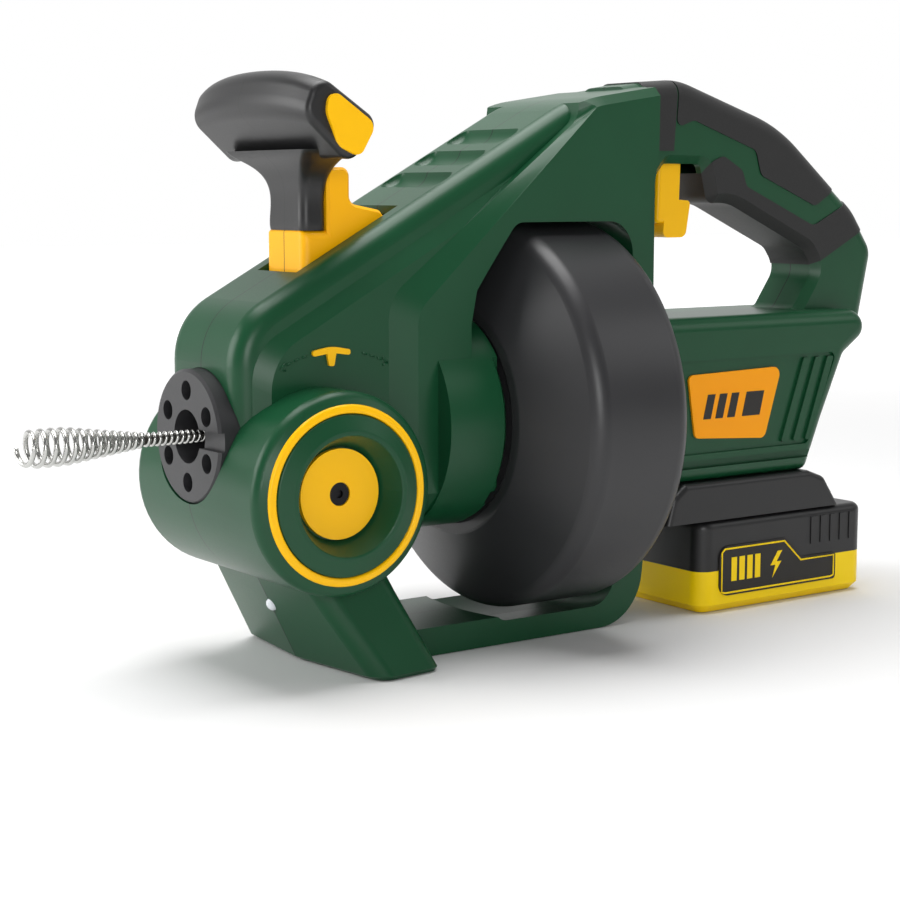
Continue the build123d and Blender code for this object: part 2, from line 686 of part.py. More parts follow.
def grip_tee():
    """Black T grip: a barrel-shaped cross bar that flows into its stem."""
    stations = (
        (-TBAR_HALF, 1.02, TBAR_X + 1.5, TBAR_Z - 4.0),
        (-26.0, 1.17, TBAR_X + 0.3, TBAR_Z - 0.8),
        (0.0, 1.21, TBAR_X, TBAR_Z),
        (26.0, 1.17, TBAR_X + 0.3, TBAR_Z - 0.8),
        (TBAR_HALF, 1.02, TBAR_X + 1.5, TBAR_Z - 4.0),
    )
    bar = loft([Plane.XZ.offset(-y) * outline(tee_section(scale, x, z)) for y, scale, x, z in stations])
    tips = [e for e in bar.edges() if abs(abs(e.center().Y) - TBAR_HALF) < 0.01]
    bar = fillet(tips, 3.0)
    levels = (
        (SADDLE_TOP, 12.4, 30, -122.8), (205, 12.4, 30, -122.8), (212, 13.6, 34, -123.2),
        (218, 17, 46, -124.8), (225, 24, 70, -127.5),
    )
    stem = loft([Plane.XY.offset(z) * (Pos(x, 0) * RectangleRounded(a, b, 4)) for z, a, b, x in levels])
    return bar + stem


def pivot_rod(side, near, far, radius):
    """Round bar on the barrel axis between two depths on one side."""
    low, high = sorted((side * near, side * far))
    return rod_y(low, high, radius, BARREL_X, BARREL_Z)


def feed_lever():
    """Every piece that rocks with the feed lever."""
    base = lever_base()
    room = [
        (-140, 150, 0), (-140, SADDLE_TOP, 0), (POST_FRONT, SADDLE_TOP, 0), (POST_FRONT, POST_TOP, 0),
        (POST_REAR, POST_TOP, 0), (-90, 150, 0),
    ]
    tee = grip_tee() - slab(room, 60)
    for side, word in ((-1, "left"), (1, "right")):
        save("lever_yoke_" + word, half_of(base, side))
        save("lever_grip_" + word, half_of(tee, side))
    caps = []
    discs = []
    screws = []
    for side, depth in ((-1, BARREL_LEFT), (1, BARREL_RIGHT)):
        leaf = [(-138.5, 239.5, 7), (-137, 250, 4), (-114.5, 235, 4.5), (-122.5, 221.5, 4), (-132.5, 226, 9)]
        caps.append(slab(leaf, 0.8, side * (TBAR_HALF + 0.8)))
        disc = pivot_rod(side, depth + 0.3, depth + 2.6, DISC_R)
        discs.append(disc - pivot_rod(side, depth - 1, depth + 9, PIVOT_R))
        head = pivot_rod(side, depth - 0.5, depth + 2.0, PIVOT_R - 0.2)
        screws.append(head - pivot_rod(side, depth + 0.8, depth + 3, 1.8))
    save("lever_caps", group(caps))
    save("hub_discs", group(discs))
    save("hub_screws", group(screws))
    shaft = rod_y(-BARREL_LEFT + 0.5, BARREL_RIGHT - 0.5, PIVOT_R, BARREL_X, BARREL_Z)
    save("pivot_shaft", shaft)


# --- feed rollers ---
def roller_places():
    """Name and axis of each roller round the cable: one above on the lever, two below in the cradle."""
    reach = CABLE_D / 2 + ROLLER_GAP + ROLLER_R
    places = []
    for word, angle in (("upper", 90.0), ("left", 210.0), ("right", 330.0)):
        turn = math.radians(angle)
        places.append((word, reach * math.cos(turn), DRUM_Z + reach * math.sin(turn)))
    return places


def cradle():
    """Bracket on the collar's inner end that carries the two lower rollers."""
    body = rod_x(-152, -148.5, COLLAR_R - 6) & box(-160, -140, -30, 30, 90, 130)
    body = body + box(-148.5, -122, -10.5, 10.5, 89, 94) + box(-148.5, -142, -10.5, 10.5, 89, 108)
    body = body + box(-126, -122, -10.5, 10.5, 89, 108)
    body = body - rod_x(-160, -100, CABLE_D / 2 + 1.5)
    for _, y, z in roller_places()[1:]:
        body = body - rod_x(-146, -120, ROLLER_PIN_R, y, z)
    return body


def feed_rollers():
    """Rollers that grip the turning cable, with their pins and the lower cradle."""
    pins = []
    for word, y, z in roller_places():
        body = rod_x(-141.5, -126.5, ROLLER_R, y, z)
        save("roller_" + word, body - rod_x(-143, -125, ROLLER_PIN_R + RUN_GAP, y, z))
        pins.append(rod_x(-145, -123, ROLLER_PIN_R, y, z))
    save("roller_pin_upper", pins[0])
    save("roller_pins_lower", group(pins[1:]))
    save("roller_cradle", cradle())


# --- casing trim and fittings ---
def collar():
    """Round cable outlet with six holes and a radial slot."""
    back = COLLAR_FACE + COLLAR_THICK
    disc = rod_x(COLLAR_FACE, back, COLLAR_R)
    rim = [e for e in disc.edges() if e.center().X < COLLAR_FACE + 1]
    disc = chamfer(rim, 1.2)
    disc = disc + rod_x(back - 1, -152, COLLAR_R - 6)
    disc = disc - rod_x(COLLAR_FACE - 1, -150, COLLAR_BORE_R)
    for number in range(6):
        turn = math.radians(30 + 60 * number)
        y = COLLAR_PCD / 2 * math.cos(turn)
        z = COLLAR_PCD / 2 * math.sin(turn)
        disc = disc - rod_x(COLLAR_FACE - 1, COLLAR_FACE + 7, COLLAR_HOLE_R, y, DRUM_Z + z)
    return disc - box(COLLAR_FACE - 1, COLLAR_FACE + 2.5, -COLLAR_R - 2, 0, DRUM_Z - 4, DRUM_Z + 4)


def ring_trims():
    """Yellow ring around each dished barrel end."""
    rings = []
    for side, depth in ((-1, BARREL_LEFT), (1, BARREL_RIGHT)):
        low = depth + 6.6
        rings.append(turned_y([
            (RING_INNER_R, low, 0), (RING_INNER_R, low + 3.5, 1.2), (RING_OUTER_R, low + 2.9, 1.2),
            (RING_OUTER_R, low, 0),
        ], side))
    return group(rings)


def badges():
    """Coloured plate on each side of the rear box."""
    corners = [(76, 119, 3), (139, 120.5, 4), (128, 85, 4), (81, 88, 3)]
    face = BOX_HALF - 1.5
    return group([slab(corners, 0.6, side * (face + 0.62)) for side in (-1, 1)])


def feed_icons():
    """Small T mark beside the feed lever scale."""
    x = ICON_X
    z = ICON_Z
    bar = [
        (x - 9.3, z - 3.2, 1), (x - 9.3, z - 0.8, 1), (x, z + 0.9, 20),
        (x + 9.3, z - 0.8, 1), (x + 9.3, z - 3.2, 1), (x, z - 1.9, 20),
    ]
    stem = [(x - 2.4, z - 1.5, 0), (x + 2.4, z - 1.5, 0), (x + 1.2, z - 7.5, 0.8), (x - 1.2, z - 7.5, 0.8)]
    marks = []
    for side in (-1, 1):
        centre = side * (PANEL_HALF + 0.62)
        marks.append(slab(bar, 0.6, centre) + slab(stem, 0.6, centre))
    return group(marks)


BAND = [(HANDLE_ROOT + 1, 227, 0), (HANDLE_ROOT + 1, 270, 0), (82, 270, 0), (79, 227, 0)]
BACK = [
    (83, 270, 0), (80.6, 238, 3), (92, 242, 6), (134, 228, 5), (138, 215.5, 5), (177, 200, 5), (192, 209, 0),
    (240, 260, 0),
]
PALM = [
    (97, 208, 2), (104, 222, 6), (112, 225, 5), (125, 218, 5), (128, 210, 4), (176, 190, 6), (206, 204, 0),
    (216, 189, 0), (168, 165, 0), (100, 190, 0),
]


def grip_skins():
    """Rubber skins let into the handle: a band at the root, the back and the palm patch."""
    layer = handle(SKIN_PROUD) - handle(SKIN_PROUD - SKIN)
    regions = {"band": BAND, "back": BACK, "palm": PALM}
    return {name: layer & slab(region, 40) for name, region in regions.items()}


def trim():
    """Trim and fittings that stay on the casing."""
    save("outlet_collar", collar())
    save("ring_trims", ring_trims())
    save("badges", badges())
    save("feed_icons", feed_icons())
    bush = rod_x(HUB_FRONT + 4, HUB_FRONT + 24, NECK_R + BUSH_WALL)
    save("front_bush", bush - rod_x(HUB_FRONT, HUB_FRONT + 30, NECK_R + RUN_GAP))
    lens = Pos(0, 0, -1.4) * Cylinder(LENS_R, 6)
    front = lens.edges().group_by(Axis.Z)[-1]
    save("led_lens", LAMP_SEAT * fillet(front, LENS_R - 0.4))
    board = box(104, 138, -24, 24, 72, 74.5) + box(112, 130, -8, 8, 74.5, 80)
    save("control_board", board)
    switch = box(91, 103, -8, 8, 229, 243)
    save("trigger_switch", switch)


# --- casing screws ---
def casing_screws():
    """Screws that join the casing halves, driven from the right."""
    screws = []
    for x, z in SCREW_SPOTS:
        body = rod_y(-8.5, 6.0, SCREW_R, x, z) + rod_y(6.0, 8.2, BOSS_R - 1.0, x, z)
        screws.append(body)
    return group(screws)


# --- trigger ---
def trigger():
    """Two-step trigger under the handle root."""
    upper = slab([(76, 192, 2), (77, 222, 0), (91, 222, 0), (90, 192, 0)], 10)
    finger = slab([(80, 185, 3), (82, 204, 0), (98, 203, 2), (95, 185, 4)], 10)
    stem = box(80, 86, -4, 4, 222, 233)
    body = upper + finger + stem
    edges = [e for e in body.edges() if e.length > 15 and e.center().X < 80]
    return fillet(edges, 2.0)


# --- battery and shoe ---
def shoe():
    """Black battery shoe under the rear box with a T slot below."""
    low_z = BATTERY_TOP + 0.5
    side = [(62, low_z, 0), (66, 60, 5), (74, BOX_LOW, 3), (159, BOX_LOW, 0), (170, 62, 6), (181, low_z, 0)]
    body = slab(side, BATTERY_HALF)
    rims = [e for e in body.edges() if abs(abs(e.center().Y) - BATTERY_HALF) < 0.01]
    body = fillet([e for e in rims if e.center().Z > BATTERY_TOP + 2], 3.0)
    body = body - box(60, 200, -SLIDE_NECK, SLIDE_NECK, 40, SLIDE_Z)
    return body - box(66, 200, -SLIDE_HEAD, SLIDE_HEAD, SLIDE_Z, SLIDE_Z + 6.5)


def battery():
    """Slide-on battery pack."""
    rear = BATTERY_X + BATTERY_LENGTH
    low = box(BATTERY_X, rear, -BATTERY_HALF, BATTERY_HALF, 0, BATTERY_SEAM)
    corners = [e for e in low.edges().filter_by(Axis.Z)]
    low = fillet(corners, 8)
    base = [e for e in low.edges() if e.center().Z < 0.01]
    low = chamfer(base, 4.0) - box(BATTERY_X + 3, rear - 3, -BATTERY_HALF + 4, BATTERY_HALF - 4, 3, 30)
    save("battery_lower_case", low)
    high = box(BATTERY_X, rear, -BATTERY_HALF, BATTERY_HALF, BATTERY_SEAM, BATTERY_TOP)
    high = fillet(high.edges().filter_by(Axis.Z), 8)
    crown = [e for e in high.edges() if e.center().Z > BATTERY_TOP - 0.01]
    high = fillet(crown, 4.0)
    high = high - box(BATTERY_X + 3, rear - 3, -BATTERY_HALF + 4, BATTERY_HALF - 4, 10, BATTERY_TOP - 3)
    neck = SLIDE_NECK - SLIDE_GAP
    head = SLIDE_HEAD - SLIDE_GAP
    high = high + box(BATTERY_X + 6, rear - 16, -neck, neck, BATTERY_TOP - 1, SLIDE_Z + SLIDE_GAP)
    high = high + box(BATTERY_X + 6, rear - 24, -head, head, SLIDE_Z + SLIDE_GAP, SLIDE_Z + 6)
    for number in range(5):
        x = rear - 40 + 7.0 * number
        for y in (-BATTERY_HALF + 0.5, BATTERY_HALF - 0.5):
            high = high + box(x, x + 4.2, y - 1.0, y + 1.0, 28, 42)
    high = high - box(rear - 5, rear + 5, -14, 14, 26, 42)
    high = high - box(BATTERY_X, BATTERY_X + 12, -16, 16, 52.8, 57.2)
    save("battery_upper_case", high)
    cells = [rod_y(-32, 32, 9.0, BATTERY_X + 16 + 21 * n, 20) for n in range(5)]
    save("battery_cells", group(cells))
    labels = []
    for side in (-1, 1):
        face = [(96, 8, 6), (96, 33, 6), (142, 33, 3), (154, 22, 3), (178, 22, 2), (178, 8, 2)]
        labels.append(slab(face, 0.4, side * (BATTERY_HALF + 0.42)))
    save("battery_labels", group(labels))
    button = box(rear - 4.6, rear + 1, -13.6, 13.6, 26.4, 41.6)
    save("battery_button", fillet(button.edges().filter_by(Axis.X), 2))
    contacts = [box(70, 92, y - 0.4, y + 0.4, 53, 57) for y in (-12, -4, 4, 12)]
    save("terminal_blades", group(contacts))


# --- cable ---
def cable():
    """Last stretch of the cable and its bulb auger head."""
    save("snake_cable", rod_x(CABLE_END, CABLE_TAIL, CABLE_D / 2))
    start = CABLE_END - HEAD_LENGTH
    head = turned_x([
        (start, 0, 0), (start, HEAD_R - 3, 2), (start + 9, HEAD_R, 4), (start + 24, HEAD_R - 3, 4),
        (CABLE_END, CABLE_D / 2, 0), (CABLE_END, 0, 0)])
    save("auger_head", head)


def main():
    """Build and write every piece."""
    outside = casing_outside()
    inside = casing_inside()
    skins = grip_skins()
    for name, skin in skins.items():
        save("grip_" + name, skin)
    save("casing_left", casing_half(outside, inside, skins, -1))
    save("casing_right", casing_half(outside, inside, skins, 1))
    save("casing_screws", casing_screws())
    trim()
    save("drum_front_shell", drum_front())
    save("drum_rear_shell", drum_rear())
    save("stored_cable", stored_cable())
    drive()
    feed_lever()
    feed_rollers()
    save("trigger", trigger())
    save("battery_shoe", shoe())
    battery()
    cable()


main()
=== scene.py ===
"""Drain snake machine: finishes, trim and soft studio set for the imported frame.

All lengths are in metres in the frame's own axes: -X out of the nose, +X to the handle, -Y to the left.
"""

from __future__ import annotations

import logging
import math
from dataclasses import dataclass
from enum import Enum
from typing import Any, Callable, Iterable, Mapping, Sequence

import bpy
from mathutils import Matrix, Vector

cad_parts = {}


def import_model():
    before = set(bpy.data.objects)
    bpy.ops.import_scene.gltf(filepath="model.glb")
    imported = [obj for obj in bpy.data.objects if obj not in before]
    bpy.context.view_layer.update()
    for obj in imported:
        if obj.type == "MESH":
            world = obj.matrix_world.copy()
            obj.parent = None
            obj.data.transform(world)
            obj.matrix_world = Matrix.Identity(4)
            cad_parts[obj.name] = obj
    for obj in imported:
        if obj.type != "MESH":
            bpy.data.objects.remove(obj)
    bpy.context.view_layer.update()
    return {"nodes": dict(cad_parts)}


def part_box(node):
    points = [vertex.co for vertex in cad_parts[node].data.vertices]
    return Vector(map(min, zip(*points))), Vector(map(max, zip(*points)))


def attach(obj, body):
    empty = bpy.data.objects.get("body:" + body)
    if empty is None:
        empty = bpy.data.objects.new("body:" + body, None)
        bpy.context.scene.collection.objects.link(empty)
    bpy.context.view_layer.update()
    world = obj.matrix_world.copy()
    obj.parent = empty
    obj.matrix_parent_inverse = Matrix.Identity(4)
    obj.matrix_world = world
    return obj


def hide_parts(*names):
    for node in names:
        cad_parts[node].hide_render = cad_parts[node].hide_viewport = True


LOG = logging.getLogger("drain_snake")
MM = 0.001
WHITE = (1.0, 1.0, 1.0, 1.0)
Point = tuple[float, float, float]


class Side(Enum):
    """Side of the machine, as the sign of Y."""

    LEFT = -1
    RIGHT = 1


# --- nodes and colours ---
def hex_colour(code: str) -> tuple[float, float, float, float]:
    """Turn an sRGB hex value into a linear colour.

    Args:
        code: Six hex digits, such as "1d4a30".

    Returns:
        Linear red, green, blue and an alpha of one.
    """
    channels = [int(code[i : i + 2], 16) / 255 for i in (0, 2, 4)]
    linear = [c / 12.92 if c <= 0.04045 else ((c + 0.055) / 1.055) ** 2.4 for c in channels]
    return (linear[0], linear[1], linear[2], 1.0)


def add_node(
    tree: bpy.types.NodeTree,
    kind: str,
    settings: Mapping[str, Any] | None = None,
    values: Mapping[Any, Any] | None = None,
    links: Mapping[Any, bpy.types.NodeSocket] | None = None,
) -> bpy.types.Node:
    """Add a shader node with its settings, socket values and links.

    Args:
        tree: Node tree of a material or world.
        kind: Node type name.
        settings: Attributes of the node.
        values: Default values by input name or index.
        links: Sockets that feed the node's inputs.

    Returns:
        The new node.
    """
    made = tree.nodes.new(kind)
    for key, value in (settings or {}).items():
        setattr(made, key, value)
    for key, value in (values or {}).items():
        made.inputs[key].default_value = value
    for key, socket in (links or {}).items():
        tree.links.new(socket, made.inputs[key])
    return made


@dataclass(frozen=True)
class Finish:
    """Surface of one real material: its colours, shine and the grain that its mould or process left."""

    name: str
    colour: str
    shade: str
    roughness: float = 0.4
    roughness_spread: float = 0.08
    metallic: float = 0.0
    grain: float = 0.6 * MM
    grain_depth: float = 0.03 * MM
    mottle: float = 30 * MM
    coat: float = 0.0
    sheen: float = 0.0
    gloss: float = 0.5
    seam_half: float = 0.0

    def material(self) -> bpy.types.Material:
        """Return the material of this finish, built once.

        Returns:
            A node material that reads Object coordinates.
        """
        known = bpy.data.materials.get(self.name)
        if known:
            return known
        made = bpy.data.materials.new(self.name)
        made.use_nodes = True
        tree = made.node_tree
        tree.nodes.clear()
        place = add_node(tree, "ShaderNodeTexCoord").outputs["Object"]
        cloud = self._noise(tree, place, self.mottle, 3.0)
        speck = self._noise(tree, place, self.grain, 2.0)
        tones = {6: hex_colour(self.colour), 7: hex_colour(self.shade)}
        colour = add_node(tree, "ShaderNodeMix", {"data_type": "RGBA"}, tones, {0: cloud}).outputs[2]
        low = self.roughness - self.roughness_spread
        high = self.roughness + self.roughness_spread
        rough = add_node(tree, "ShaderNodeMapRange", None, {3: low, 4: high}, {0: speck}).outputs[0]
        if self.seam_half:
            feed = {0: self._seam(tree, place), 6: colour}
            dark = {7: hex_colour("030605")}
            colour = add_node(tree, "ShaderNodeMix", {"data_type": "RGBA"}, dark, feed).outputs[2]
        relief = {"Distance": self.grain_depth, "Strength": 1.0}
        bump = add_node(tree, "ShaderNodeBump", None, relief, {"Height": speck})
        shader = add_node(
            tree,
            "ShaderNodeBsdfPrincipled",
            None,
            {
                "Metallic": self.metallic,
                "Coat Weight": self.coat,
                "Coat Roughness": 0.2,
                "Sheen Weight": self.sheen,
                "Specular IOR Level": self.gloss,
            },
            {"Base Color": colour, "Roughness": rough, "Normal": bump.outputs[0]},
        )
        add_node(tree, "ShaderNodeOutputMaterial", None, None, {"Surface": shader.outputs[0]})
        return made

    @staticmethod
    def _noise(
        tree: bpy.types.NodeTree, place: bpy.types.NodeSocket, size: float, detail: float
    ) -> bpy.types.NodeSocket:
        """Make noise whose blobs have a real size.

        Args:
            tree: Node tree of the material.
            place: Socket with the coordinates.
            size: Distance across a blob.
            detail: Octaves of finer noise.

        Returns:
            The socket with the noise from zero to one.
        """
        values = {"Scale": 1 / size, "Detail": detail}
        return add_node(tree, "ShaderNodeTexNoise", None, values, {"Vector": place}).outputs[0]

    def _seam(self, tree: bpy.types.NodeTree, place: bpy.types.NodeSocket) -> bpy.types.NodeSocket:
        """Mask the thin dark joint on the mid-plane.

        Args:
            tree: Node tree of the material.
            place: Socket with the coordinates.

        Returns:
            The socket that is one inside the joint and zero elsewhere.
        """
        across = add_node(tree, "ShaderNodeSeparateXYZ", None, None, {0: place}).outputs[1]
        away = add_node(tree, "ShaderNodeMath", {"operation": "ABSOLUTE"}, None, {0: across}).outputs[0]
        half = {1: self.seam_half}
        return add_node(tree, "ShaderNodeMath", {"operation": "LESS_THAN"}, half, {0: away}).outputs[0]


# Injection-moulded ABS from a spark-eroded tool: even colour, satin, a fine grain that softens highlights.
GREEN_SHELL = Finish(
    "moulded_green_abs", "0d4226", "10482b", 0.34, 0.04,
    grain=0.7 * MM, grain_depth=0.012 * MM, gloss=0.34, seam_half=0.3 * MM,
)
# The same plastic in yellow from a smoother tool: crisper highlights on rings, caps and buttons.
YELLOW_TRIM = Finish(
    "moulded_yellow_abs", "ffc400", "ffbe00", 0.34, 0.04, grain=0.8 * MM, grain_depth=0.008 * MM, gloss=0.26
)
# Yellow of the lever: a shade warmer, with the dark line where its halves meet.
YELLOW_LEVER = Finish(
    "moulded_yellow_lever", "ffba00", "ffb400", 0.36, 0.04,
    grain_depth=0.008 * MM, gloss=0.26, seam_half=0.25 * MM,
)
# Yellow polycarbonate blend of the pack: a little more lemon, and flatter.
PACK_YELLOW = Finish(
    "moulded_pack_yellow", "ffdc00", "ffd600", 0.38, 0.05, grain_depth=0.012 * MM, gloss=0.26
)
# Printed polyester sticker: flat, even orange with hardly any shine.
BADGE_ORANGE = Finish(
    "printed_badge_orange", "fba200", "f89c00", 0.4, 0.03, grain_depth=0.004 * MM, gloss=0.22
)
# Screen-printed ink: warm black that lies dull on the sticker.
PRINT_BLACK = Finish("screen_print_black", "16130f", "1b1712", 0.5, 0.05, grain_depth=0.004 * MM)
# Black polypropylene with a coarser texture, which spreads the light over a broad sheen.
DRUM_BLACK = Finish(
    "moulded_drum_black", "272729", "2b2b2d", 0.38, 0.05, grain=0.9 * MM, grain_depth=0.014 * MM
)
# Glass-filled nylon of the pack and the drive: dark, with a slightly speckled sheen.
NYLON_BLACK = Finish(
    "glass_filled_nylon", "171718", "1c1c1d", 0.4, 0.06, grain=0.8 * MM, grain_depth=0.014 * MM
)
# Nylon of the outlet collar: dark grey, so that its holes still read as darker.
COLLAR_GREY = Finish(
    "moulded_collar_grey", "28282a", "2d2d2f", 0.42, 0.06, grain=0.8 * MM, grain_depth=0.012 * MM
)
# Thermoplastic rubber: nearly black, matt, with a soft bloom at grazing angles.
RUBBER = Finish(
    "overmoulded_rubber", "101010", "151515", 0.55, 0.06,
    grain=0.9 * MM, grain_depth=0.05 * MM, sheen=0.04,
)
# Soft-touch plastic of the T grip: smooth dark sheen and the line between its halves.
TEE_BLACK = Finish(
    "soft_touch_black", "171718", "1c1c1d", 0.4, 0.04,
    grain=0.8 * MM, grain_depth=0.012 * MM, seam_half=0.3 * MM,
)
# Zinc-plated spring wire: bright, with drawn streaks that read as fine variation.
SPRING_STEEL = Finish(
    "drawn_spring_steel", "cfcfcb", "b4b4b2", 0.24, 0.08, 1.0,
    grain=1.2 * MM, grain_depth=0.004 * MM, mottle=6 * MM,
)
# Dark steel of the rod inside the cable's coil: painted shade, standing for the dark inside the coil that
# shows between the turns.
PAINTED_SHADE_CORE = Finish("painted_shade_core_steel", "3a3936", "45433f", 0.5, 0.1, 1.0, grain_depth=0.01 * MM)
# Ground steel of gears, pins and shafts: grey metal with a soft, even shine.
GROUND_STEEL = Finish(
    "ground_steel", "b6b6b4", "9f9f9e", 0.32, 0.08, 1.0, grain=0.8 * MM, grain_depth=0.006 * MM
)
# Black-oxide screws: dark metal that only glints on its edges.
BLACK_OXIDE = Finish(
    "black_oxide_steel", "1b1b1d", "242427", 0.38, 0.08, 0.8, grain=0.8 * MM, grain_depth=0.008 * MM
)
# Sintered bronze bushes: dull brown gold with open pores.
BRONZE = Finish(
    "sintered_bronze", "9a7448", "84613a", 0.45, 0.1, 1.0, grain=0.5 * MM, grain_depth=0.02 * MM
)
# Plated copper blades: warm, clean metal.
COPPER = Finish("plated_copper", "c98d5c", "b97c4c", 0.3, 0.06, 1.0)
# Heat-shrunk sleeve of the cells: smooth blue film.
CELL_WRAP = Finish("shrink_wrap_blue", "2b6f9c", "286690", 0.35, 0.05)
# Clear lens of the work light: pale, glassy, with a sharp glint.
LENS = Finish("clear_lens", "e9edf2", "dfe5ec", 0.12, 0.03, coat=0.6, grain_depth=0.002 * MM)
# Solder mask of the control board: glossy mid green.
BOARD = Finish("solder_mask_green", "0f5a35", "0c4d2d", 0.35, 0.06)

CAD_FINISHES: dict[Finish, tuple[str, ...]] = {
    GREEN_SHELL: ("casing_left", "casing_right"),
    YELLOW_TRIM: ("ring_trims", "lever_caps", "hub_discs", "trigger", "battery_button", "feed_icons"),
    YELLOW_LEVER: ("lever_yoke_left", "lever_yoke_right"),
    PACK_YELLOW: ("battery_lower_case",),
    BADGE_ORANGE: ("badges",),
    DRUM_BLACK: ("drum_front_shell", "drum_rear_shell"),
    NYLON_BLACK: (
        "battery_shoe", "battery_upper_case", "roller_cradle", "trigger_switch", "gearbox_plate",
        "motor_endcap", "ring_gear",
    ),
    COLLAR_GREY: ("outlet_collar",),
    RUBBER: ("grip_band", "grip_back", "grip_palm"),
    TEE_BLACK: ("lever_grip_left", "lever_grip_right"),
    PRINT_BLACK: ("battery_labels",),
    LENS: ("led_lens",),
    BOARD: ("control_board",),
    GROUND_STEEL: (
        "output_shaft", "carrier_gear", "motor_rotor", "roller_upper", "roller_left", "roller_right",
        "roller_pin_upper", "roller_pins_lower", "pivot_shaft", "motor_can", "planet_gear_1a",
        "planet_gear_1b", "planet_gear_1c", "planet_gear_2a", "planet_gear_2b", "planet_gear_2c",
    ),
    SPRING_STEEL: ("stored_cable",),
    BLACK_OXIDE: ("casing_screws", "hub_screws"),
    BRONZE: ("front_bush", "rear_bush"),
    COPPER: ("terminal_blades",),
    CELL_WRAP: ("battery_cells",),
}


# --- modelling helpers ---
MERGE_DISTANCE = 0.001 * MM
PRINT_THICK = 0.3 * MM


def start_clean() -> None:
    """Leave edit mode and deselect everything."""
    if bpy.context.object and bpy.context.object.mode != "OBJECT":
        bpy.ops.object.mode_set(mode="OBJECT")
    bpy.ops.object.select_all(action="DESELECT")


def pick(piece: bpy.types.Object) -> None:
    """Make one object the only selected and active one.

    Args:
        piece: The object to pick.
    """
    start_clean()
    piece.select_set(True)
    bpy.context.view_layer.objects.active = piece


def settle(piece: bpy.types.Object) -> None:
    """Put a piece's place into its mesh and turn its normals outwards.

    Args:
        piece: The mesh object to settle.
    """
    pick(piece)
    bpy.ops.object.transform_apply(location=True, rotation=True, scale=True)
    bpy.ops.object.mode_set(mode="EDIT")
    bpy.ops.mesh.select_all(action="SELECT")
    bpy.ops.mesh.remove_doubles(threshold=MERGE_DISTANCE)
    bpy.ops.mesh.normals_make_consistent(inside=False)
    bpy.ops.object.mode_set(mode="OBJECT")


def dress(piece: bpy.types.Object, finish: Finish, name: str, body: str) -> bpy.types.Object:
    """Name a finished piece, give it its finish and let it ride on its body.

    Args:
        piece: The finished mesh object.
        finish: Surface of the piece.
        name: Name of the piece.
        body: Body that carries it.

    Returns:
        The same object.
    """
    piece.name = name
    piece.data.name = name
    piece.data.materials.clear()
    piece.data.materials.append(finish.material())
    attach(piece, body)
    LOG.info("piece %s on %s: %d faces", name, body, len(piece.data.polygons))
    return piece


def wire_curve(
    name: str, points: Iterable[Point], radius: float, sides: int = 2, closed: bool = False
) -> bpy.types.Object:
    """Make a round wire along points, as a mesh.

    Args:
        name: Name of the object.
        points: Centreline of the wire.
        radius: Half of the wire's thickness.
        sides: Bevel resolution of the wire's section.
        closed: Whether the wire joins its own start.

    Returns:
        The mesh object.
    """
    route = list(points)
    curve = bpy.data.curves.new(name, "CURVE")
    curve.dimensions = "3D"
    curve.bevel_depth = radius
    curve.bevel_resolution = sides
    curve.use_fill_caps = True
    spline = curve.splines.new("POLY")
    spline.points.add(len(route) - 1)
    for slot, place in zip(spline.points, route):
        slot.co = (*place, 1.0)
    spline.use_cyclic_u = closed
    made = bpy.data.objects.new(name, curve)
    bpy.context.scene.collection.objects.link(made)
    pick(made)
    bpy.ops.object.convert(target="MESH")
    made = bpy.context.object
    settle(made)
    bpy.ops.object.shade_smooth()
    return made


def side_plate(name: str, corners: Sequence[tuple[float, float]], y: float) -> bpy.types.Object:
    """Make a printed plate from a side-view outline, lying on a lengthwise plane.

    Args:
        name: Name of the object.
        corners: Outline as (x, z) corners in order.
        y: Plane that the middle of the plate lies on.

    Returns:
        The mesh object.
    """
    curve = bpy.data.curves.new(name, "CURVE")
    curve.dimensions = "2D"
    curve.fill_mode = "BOTH"
    curve.extrude = PRINT_THICK / 2
    spline = curve.splines.new("POLY")
    spline.points.add(len(corners) - 1)
    for slot, (x, z) in zip(spline.points, corners):
        slot.co = (x, z, 0.0, 1.0)
    spline.use_cyclic_u = True
    made = bpy.data.objects.new(name, curve)
    bpy.context.scene.collection.objects.link(made)
    pick(made)
    bpy.ops.object.convert(target="MESH")
    made = bpy.context.object
    made.rotation_euler = (math.pi / 2, 0.0, 0.0)
    made.location = (0.0, y, 0.0)
    settle(made)
    return made


def join_all(pieces: Sequence[bpy.types.Object]) -> bpy.types.Object:
    """Join several mesh objects into the first one.

    Args:
        pieces: The objects to join.

    Returns:
        The joined object.
    """
    start_clean()
    for piece in pieces:
        piece.select_set(True)
    bpy.context.view_layer.objects.active = pieces[0]
    bpy.ops.object.join()
    return bpy.context.object


